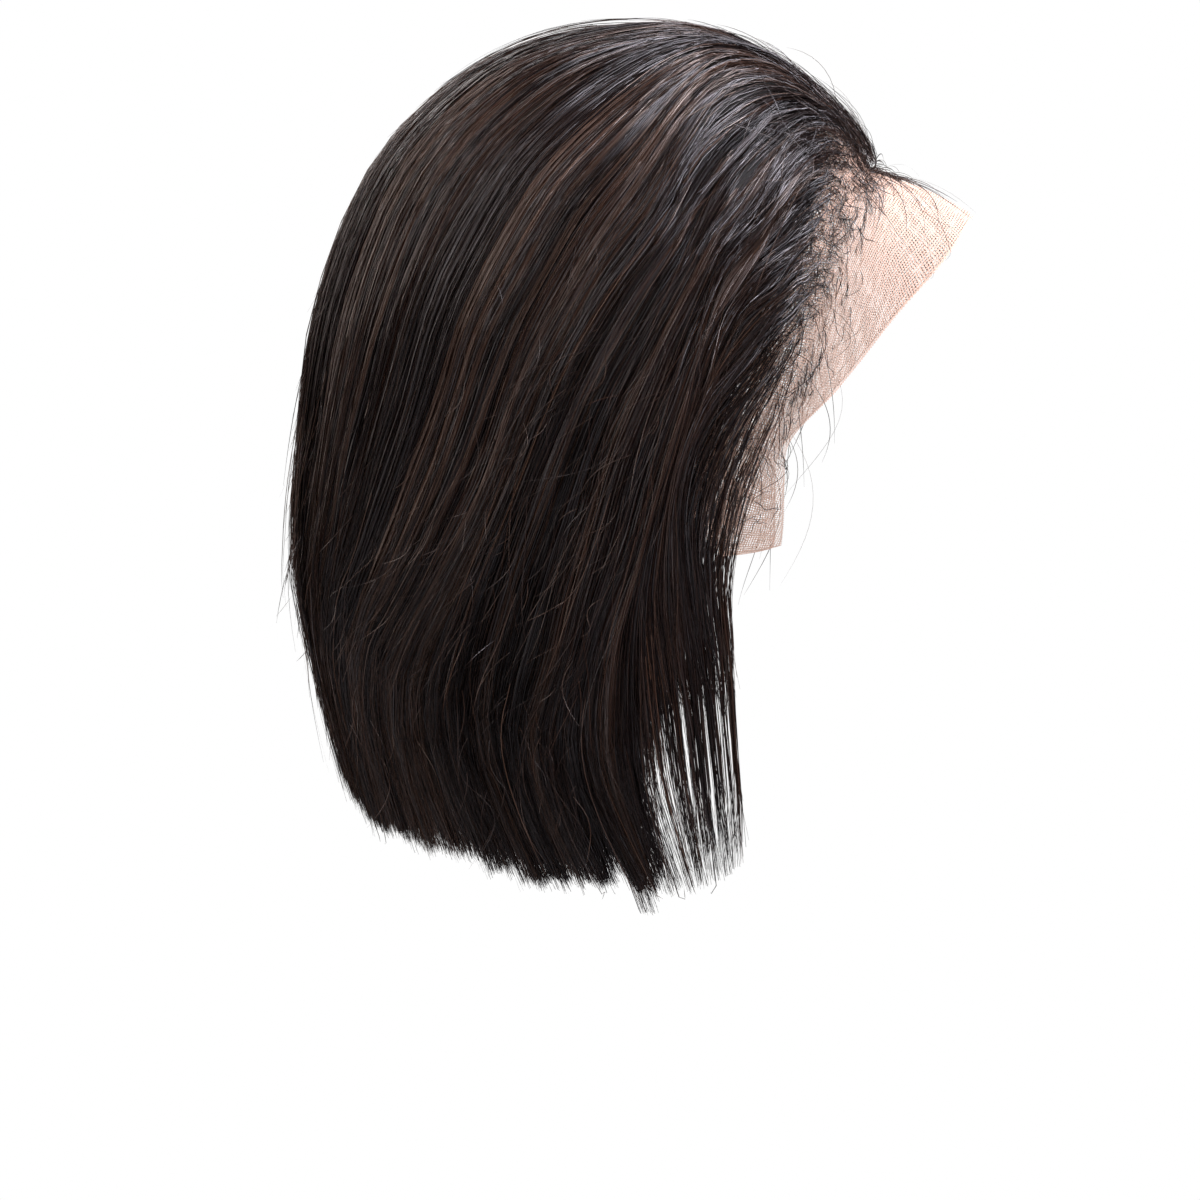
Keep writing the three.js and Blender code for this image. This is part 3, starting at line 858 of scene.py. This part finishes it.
# By a strand's shade, from near black to golden
HAIR_COLOUR = [
    (0, (0.002, 0.0011, 0.0011)),
    (0.25, (0.0065, 0.0031, 0.0027)),
    (0.5, (0.023, 0.0105, 0.0075)),
    (0.72, (0.056, 0.027, 0.0175)),
    (0.88, (0.11, 0.056, 0.034)),
    (1, (0.19, 0.1, 0.06)),
]
HAIR_TINT = [(0, (0.95, 0.94, 1)), (0.38, (0.97, 0.95, 1)), (0.56, (1, 0.9, 0.85)), (1, (1, 0.8, 0.66))]
SHADES_APART = 61  # how often roughness runs through its range as the shade goes from 0 to 1
BACKING_COLOUR = [
    (0.35, (0.003, 0.0025, 0.0025)), (0.6, (0.008, 0.006, 0.005)), (0.75, (0.018, 0.012, 0.009))]
LACE_COLOUR = [(0, (0.84, 0.56, 0.43)), (1, (0.7, 0.44, 0.32))]
CAP_COLOUR = [(0, (0.016, 0.012, 0.01)), (0.4, (0.05, 0.036, 0.03)), (1, (0.1, 0.075, 0.06))]
NET_PITCH = 1.0  # mm between the net's threads
NET_THREAD = 0.15  # half a thread's width, as a share of the pitch
NET_TURN = math.radians(4)
NET_PULL = 0.9  # threads' wander, in pitches
RIM_FROM, RIM_TO, RIM_COVER = 1.5, 0.5, 0.75  # mm from the cut edge, and the rim's share of cover
TEETH = 0.6  # mm, the depth of the cut edge's teeth


def strand_material():
    """Near-black brown hair, each strand with its own depth of colour, a few of them warm brown, with
    painted shade that darkens its colour and gloss low down.
    """
    material, tree, shader = new_material("hair_strands")
    _, shade, share = uv_parts(tree)
    # Painted shade: colour and gloss darkened by the share of the way to the hem
    painted_shade = ramp(HAIR_PAINTED_SHADE, share)
    colour = node(tree, "VectorMath", {0: ramp(HAIR_COLOUR, shade), 1: painted_shade}, operation="MULTIPLY")
    cycle = maths("FRACT", maths("MULTIPLY", shade, SHADES_APART))
    feed(shader, {
        "Base Color": colour.outputs[0],
        "Roughness": mapped(cycle, 0, 1, 0.2, 0.4),
        "Specular IOR Level": maths("MULTIPLY", mapped(shade, 0, 0.4, 0.22, 0.8), painted_shade),
        "Specular Tint": ramp(HAIR_TINT, shade),
        "Sheen Weight": 0.08,
        "Sheen Roughness": 0.35,
        "Sheen Tint": (0.5, 0.25, 0.14, 1),
    })
    return material


def backing_material():
    """The dark dense hair seen between strands, streaked along its flow."""
    material, tree, shader = new_material("hair_backing")
    uv, _, _ = uv_parts(tree)
    stretched = node(tree, "Mapping", {0: uv, "Scale": (9, 5, 1)}).outputs[0]
    streaks = node(tree, "TexNoise", {"Scale": 1, "Detail": 4, "Vector": stretched}).outputs[0]
    feed(shader, {
        "Base Color": ramp(BACKING_COLOUR, streaks),
        "Normal": bumped(streaks, 0.6, 0.4 * MM),
        "Roughness": 0.6,
        "Specular IOR Level": 0.2,
    })
    return material


def lace_material():
    """Sheer skin-toned net: two crossing families of thread, denser along the cut edge."""
    material, tree, shader = new_material("lace_net")
    uv, _, _ = uv_parts(tree)
    place = node(tree, "Mapping", {
        0: uv, "Rotation": (0, 0, NET_TURN), "Scale": (1 / NET_PITCH, 1 / NET_PITCH, 1)}).outputs[0]
    noise = node(tree, "TexNoise", {"Scale": 0.35, "Detail": 2, "Vector": uv}).outputs["Color"]
    centred = node(tree, "VectorMath", {0: noise, 1: (0.5, 0.5, 0.5)}, operation="SUBTRACT").outputs[0]
    pulled = node(tree, "VectorMath", {0: centred, 1: (NET_PULL, NET_PULL, 0), 2: place},
                  operation="MULTIPLY_ADD").outputs[0]
    ways = node(tree, "SeparateXYZ", {0: pulled}).outputs
    threads = [
        mapped(maths("PINGPONG", ways[axis], 0.5), NET_THREAD * 1.25, NET_THREAD * 0.75,
               interpolation_type="SMOOTHSTEP")
        for axis in range(2)]
    either, both = maths("MAXIMUM", *threads), maths("MULTIPLY", *threads)
    _, to_edge, across = uv_parts(tree, "Edge")
    rim = mapped(to_edge, RIM_FROM, RIM_TO, 0, RIM_COVER, interpolation_type="SMOOTHSTEP")
    inside = maths("GREATER_THAN", to_edge, maths("PINGPONG", across, TEETH))
    feed(shader, {
        "Alpha": maths("MULTIPLY", maths("MAXIMUM", either, rim), inside),
        "Base Color": ramp(LACE_COLOUR, both),
        "Normal": bumped(either, 0.5, 0.15 * MM),
        "Roughness": 0.7,
        "Specular IOR Level": 0.25,
    })
    return material


def cap_material():
    """Dark stretch net with sewn rows, on the plain back of the cap."""
    material, tree, shader = new_material("cap_net")
    place = node(tree, "TexCoord").outputs["Object"]
    rows = node(tree, "TexWave", {"Scale": 40, "Distortion": 0.6, "Vector": place},
                wave_type="RINGS", rings_direction="SPHERICAL")
    mesh = node(tree, "TexVoronoi", {"Scale": 700, "Vector": place}, feature="DISTANCE_TO_EDGE")
    height = maths("ADD", maths("MULTIPLY", rows.outputs[1], 0.5), mesh.outputs[0])
    feed(shader, {
        "Base Color": ramp(CAP_COLOUR, height),
        "Normal": bumped(height, 0.6, 0.4 * MM),
        "Roughness": 0.85,
    })
    return material


HAIR = strand_material()
BACKING = backing_material()


def hair_piece(name, parts):
    points, quads, uvs, normals = joined(parts)
    piece = mesh_object(name, points, quads, uvs, HAIR)
    piece.data.normals_split_custom_set_from_vertices(normals.tolist())
    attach(piece, "root")
    return piece


def make_hair():
    land, begin = roots()
    middle = land + drift(land, np.full(len(land), PIECE_SHARE))
    for name, start, stop, _, count in PANELS:
        dense = backing(start, stop)
        own = np.flatnonzero((middle >= start) & (middle < stop))[:count]
        piece = hair_piece(name.replace("hair", "strands"), [dense, panel_strands(land[own], begin[own])])
        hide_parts(name)
        piece.data.materials.append(BACKING)
        slots = np.zeros(len(piece.data.polygons), np.int32)
        slots[:len(dense[1])] = 1
        piece.data.polygons.foreach_set("material_index", slots)


def loose_hair(points, out, width, shade):
    """Ribbons with any roll; width in millimetres and shade are drawn between two ends."""
    n, m, _ = points.shape
    width = draw(n, *width) * MM
    shade = draw(n, *shade) if isinstance(shade, tuple) else shade
    roll = col(draw(n, -ANY_ROLL, ANY_ROLL)) + np.zeros((n, m))
    return ribbons(points, out, taper(width, m, root=0.8, tip=0.25), roll, shade)


def stood(points, out, height, spread, beats):
    """Hairs lifted by heights in millimetres and bent sideways in a wave."""
    n, m, _ = points.shape
    points = points + out * (height * MM)[..., None]
    bend = col(bell(n, spread)) * np.sin(even(m) * col(draw(n, *beats))) * MM
    return points + sideways(points, out) * bend[..., None]


LACE_GAP, LACE_FLOW = line_on_lace()
LACE_STEPS = [norm(np.gradient(LACE_GRID, axis=axis)) for axis in range(2)]


def walked(i, j, heading, size):
    """Columns and rows of the lace that hairs run over from i, j, by their headings and lengths."""
    run = col(size) / (heading.shape[1] - 1)
    return [np.cumsum(way(heading) * run, axis=1) / col(step[i, j])
            for way, step in zip((np.cos, np.sin), LACE_STEPS)]


def baby_hair(count=1700, m=10):
    """Short curled hairs tied to the lace in front of the hairline and down the temples."""
    low = smooth(-LACE_GRID[..., 2], 95 * MM, 40 * MM)
    near = np.where((LACE_GAP > -12) & (LACE_GAP < 20), np.exp(-(np.maximum(LACE_GAP, 0) / 9) ** 2), 0)
    weight = near * (1 - 0.75 * low) * LACE_STEPS[0] * LACE_STEPS[1]
    flat = np.cumsum(weight.ravel())
    i, j = np.divmod(np.searchsorted(flat, draw(count, 0, flat[-1])), LACE_GRID.shape[1])
    a, b = i + draw(count, -0.5, 0.5), j + draw(count, -0.5, 0.5)
    size = draw(count, 4, 14) * MM
    turn = LACE_FLOW[i, j] + bell(count, 0.9)
    curl = bell(count, 1.6)
    wiggle, beat = draw(count, 0.2, 0.9), draw(count, 5, 13)
    t = even(m)
    heading = col(turn) + col(curl) * t + col(wiggle) * np.sin(col(beat) * t)
    u, v = walked(i, j, heading, size)
    stand = np.where(draw(count) < 0.16, draw(count, 2.2, 7), draw(count, 0.1, 2.2))
    lift = 0.25 * MM + col(stand) * MM * t ** 1.2
    points, out = lace_points(col(a) + u - u[:, :1], col(b) + v - v[:, :1], lift)
    return loose_hair(points, out, (0.19, 0.33), (0.12, 0.6))


def lace_wisps(count=210, m=18):
    """Longer fine hairs that lie forward over the standing flap."""
    columns = len(LACE_GRID)
    sweeping = draw(count) < 0.42
    side = np.where(draw(count) < 0.6, -1, 1)
    middle = 0.5 + side * draw(count, 0, 0.13)
    i = (columns * np.where(sweeping, middle, draw(count, 0.24, 0.76))).astype(int)
    j = np.argmin(np.abs(LACE_GAP[i] - col(draw(count, -4, 6))), axis=1)
    size = np.where(sweeping, draw(count, 18, 46), draw(count, 8, 34)) * MM
    t = even(m)
    ahead = np.where(sweeping, side * draw(count, 0, 0.75) - math.pi / 2,
                     LACE_FLOW[i, j] + math.pi + bell(count, 0.6))
    curl = bell(count) * np.where(sweeping, 0.6, 1.1)
    u, v = walked(i, j, col(ahead) + col(curl) * t, size)
    lift = (0.4 + col(rng.gamma(1.5, 1.3, count)) * np.sin(math.pi * np.minimum(t * 0.8, 1))) * MM
    points, out = lace_points(col(i) + u, col(j) + v, lift)
    return loose_hair(points, out, (0.2, 0.32), (0.3, 0.7))


def risers(count=900, m=10):
    """Short hairs that stand up off the hairline and the front of the crown."""
    middle = draw(count) < 0.3
    place = np.where(middle, draw(count, 140, 220), draw(count, 92, 268))
    whole = whole_at(place)
    begin = rng.gamma(1.2, 14, count) * MM / whole
    size = draw(count, 7, 34) * MM / whole
    t = even(m)
    along = col(begin) + col(size) * t
    wander = col(place) + col(bell(count, 10)) * t ** 1.3
    points, out = field_points(wander, along, 0 * along)
    height = col(rng.gamma(1.3, 0.95, count)) * np.sin(2.2 * t ** 0.8)
    points = stood(points, out, height, 1.3, (2, 7))
    return loose_hair(points, out, (0.15, 0.24), (0.15, 0.65))


def crossers(count=900, m=9):
    """Short curved hairs that lie across the locks at the sides and back, leaning to the back."""
    away = draw(count, 98, 180)
    near = draw(count) < 0.6
    side = np.where(near, 1, -1)
    land = np.where(near, away, 360 - away)
    whole = whole_at(land)
    begin = draw(count, 0.36, 0.92)
    size = draw(count, 7, 26) * MM
    t = even(m)
    along = np.minimum(col(begin) + col(size / whole) * t, 1.0)
    points, out = field_points(col(land) + drift(col(land), along), along, 0 * along)
    slant = np.tan(np.radians(rng.normal(12, 17, count).clip(-45, 50))) * size
    bow = bell(count, 0.14) * size
    height = (0.2 + col(rng.gamma(1.2, 0.7, count)) * t ** 1.5
              * (1 + 1.6 * smooth(along, 0.55, 0.3))) * MM
    back = col(side) * (col(slant) * t + col(bow) * np.sin(math.pi * t))
    points = points + out * height[..., None] + sideways(points, out) * back[..., None]
    return loose_hair(points, out, (0.16, 0.26), (0.4, 0.7))


def strays(count=600, m=14):
    """Single hairs that cross the locks and stand a little off the outline."""
    land = draw(count, 80, 280)
    whole = whole_at(land)
    begin = draw(count, 0.05, 0.86)
    size = draw(count, 25, 110) * MM / whole
    t = even(m)
    along = np.minimum(col(begin) + col(size) * t, 1.005)
    wander = col(land) + drift(col(land), along) + col(bell(count, 4)) * t ** 1.3
    points, out = field_points(wander, along, 0 * along)
    height = 0.3 + (col(rng.gamma(1.1, 0.85, count)) * t * smooth(along / 0.4)
                    * (1 + 1.4 * smooth(along, 0.5, 0.3)))
    points = stood(points, out, height, 1.2, (1, 5))
    shade = np.where(draw(count) < 0.5, draw(count, 0.3, 0.6), draw(count, 0.5, 0.78))
    return loose_hair(points, out, (0.18, 0.3), shade)


def temple_wisps(count=36, m=18):
    """Fine hairs that hang free in front of the ears, bowed towards the face."""
    side = np.where(np.arange(count) % 2, 1, -1)
    land = draw(count, 70.5, 76)
    begin = draw(count, 0, 0.32)
    start, out = field_points(np.where(side < 0, land, 360 - land), begin, np.full(count, 0.4))
    size = draw(count, 18, 66) * MM
    t = even(m)
    forward = col(draw(count, 0, 17)) * np.sin(t * col(draw(count, 1.4, 4.2))) * MM
    points = np.stack([
        start[:, :1] + forward,
        start[:, 1:2] + col(side) * col(draw(count, -1, 5)) * MM * np.sin(2.2 * t),
        start[:, 2:] - col(size) * t ** 1.1,
    ], axis=-1)
    out = np.repeat(col(out), m, axis=1)
    return loose_hair(points, out, (0.2, 0.3), (0.3, 0.7))


def dress_cap():
    material = cap_material()
    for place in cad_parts["wig_cap"].material_slots:
        place.material = material


make_hair()
make_lace()
hair_piece("baby_hair", [baby_hair(), lace_wisps()])
hair_piece("flyaways", [risers(), strays(), crossers(), temple_wisps()])
dress_cap()


# Scene

FLOOR = -0.55
FLOOR_SIDES, FLOOR_RADII = 64, (0.225, 0.9)
PIXEL = 0.37 * MM
FRAME_PIXELS = 1200
VIEW_CENTRE = (-14.8 * MM, -201.9 * MM)  # forward and up
VIEW_DISTANCE = 2.4
LIT_POINT = (0, 0, -0.12)
LIGHTS = [  # name, place, side, watts, colour
    ("overhead", (0, 0.49, 1.72), 0.9, 12, (0.96, 0.95, 1)),
    ("face_side", (0.94, -0.16, 1.53), 0.9, 80, (0.94, 0.92, 1)),
    ("camera_right", (1.03, -0.86, 1.22), 0.9, 21, (0.9, 0.92, 1)),
    ("back_high", (-1.26, -0.46, 1.22), 0.9, 12, (1, 0.95, 0.95)),
    ("back_left", (-1.32, -1.11, 0.68), 0.9, 10, (1, 0.93, 0.89)),
    ("behind", (-1.62, 0.59, 0.68), 0.9, 10, (1, 0.87, 0.8)),
    ("far", (-0.6, 1.5, 0.9), 1, 14, (1, 1, 1)),
]
SURROUND = 0.03


def make_camera():
    data = bpy.data.cameras.new("camera")
    data.lens = data.sensor_width * VIEW_DISTANCE / (PIXEL * FRAME_PIXELS)
    scene.camera = placed(
        "camera", data, (VIEW_CENTRE[0], -VIEW_DISTANCE, VIEW_CENTRE[1]), (math.radians(90), 0, 0))


def make_floor():
    """A disc: a ring of quads round a fan."""
    material, _, shader = new_material("pale_floor")
    feed(shader, {"Base Color": (0.5, 0.5, 0.5, 1), "Roughness": 0.9})
    turns = np.linspace(0, 2 * np.pi, FLOOR_SIDES + 1)[:-1]
    points = [[r * np.cos(a), r * np.sin(a), FLOOR] for r in FLOOR_RADII for a in turns]
    a = np.arange(FLOOR_SIDES)
    b = (a + 1) % FLOOR_SIDES
    half = a[::2]
    centre = np.full(len(half), 2 * FLOOR_SIDES)
    quads = np.vstack([
        np.stack([a, a + FLOOR_SIDES, b + FLOOR_SIDES, b], axis=-1),
        np.stack([centre, half, (half + 1) % FLOOR_SIDES, (half + 2) % FLOOR_SIDES], axis=-1),
    ])
    mesh_object("floor", np.array(points + [[0, 0, FLOOR]]), quads,
                         np.zeros((len(quads), 4, 2)), material, smooth_faces=False)


def area_light(name, place, size, power, colour):
    data = bpy.data.lights.new(name, "AREA")
    data.size = size
    data.energy = power
    data.color = colour
    aim = Vector(LIT_POINT) - Vector(place)
    placed(name, data, place, aim.to_track_quat("-Z", "Y").to_euler())


def make_world():
    """White behind the object, and a dim even light on it."""
    world = bpy.data.worlds.new("studio")
    scene.world = world
    world.use_nodes = True
    tree = world.node_tree
    surround = tree.nodes["Background"]
    feed(surround, {0: (1, 0.985, 0.97, 1), 1: SURROUND})
    backdrop = node(tree, "Background", {0: (1, 1, 1, 1), 1: 1})
    seen = node(tree, "LightPath").outputs["Is Camera Ray"]
    choose = node(tree, "MixShader", {0: seen, 1: surround.outputs[0], 2: backdrop.outputs[0]})
    feed(tree.nodes["World Output"], {0: choose.outputs[0]})


make_camera()
make_floor()
for light in LIGHTS:
    area_light(*light)
make_world()
scene.view_settings.view_transform = "Standard"
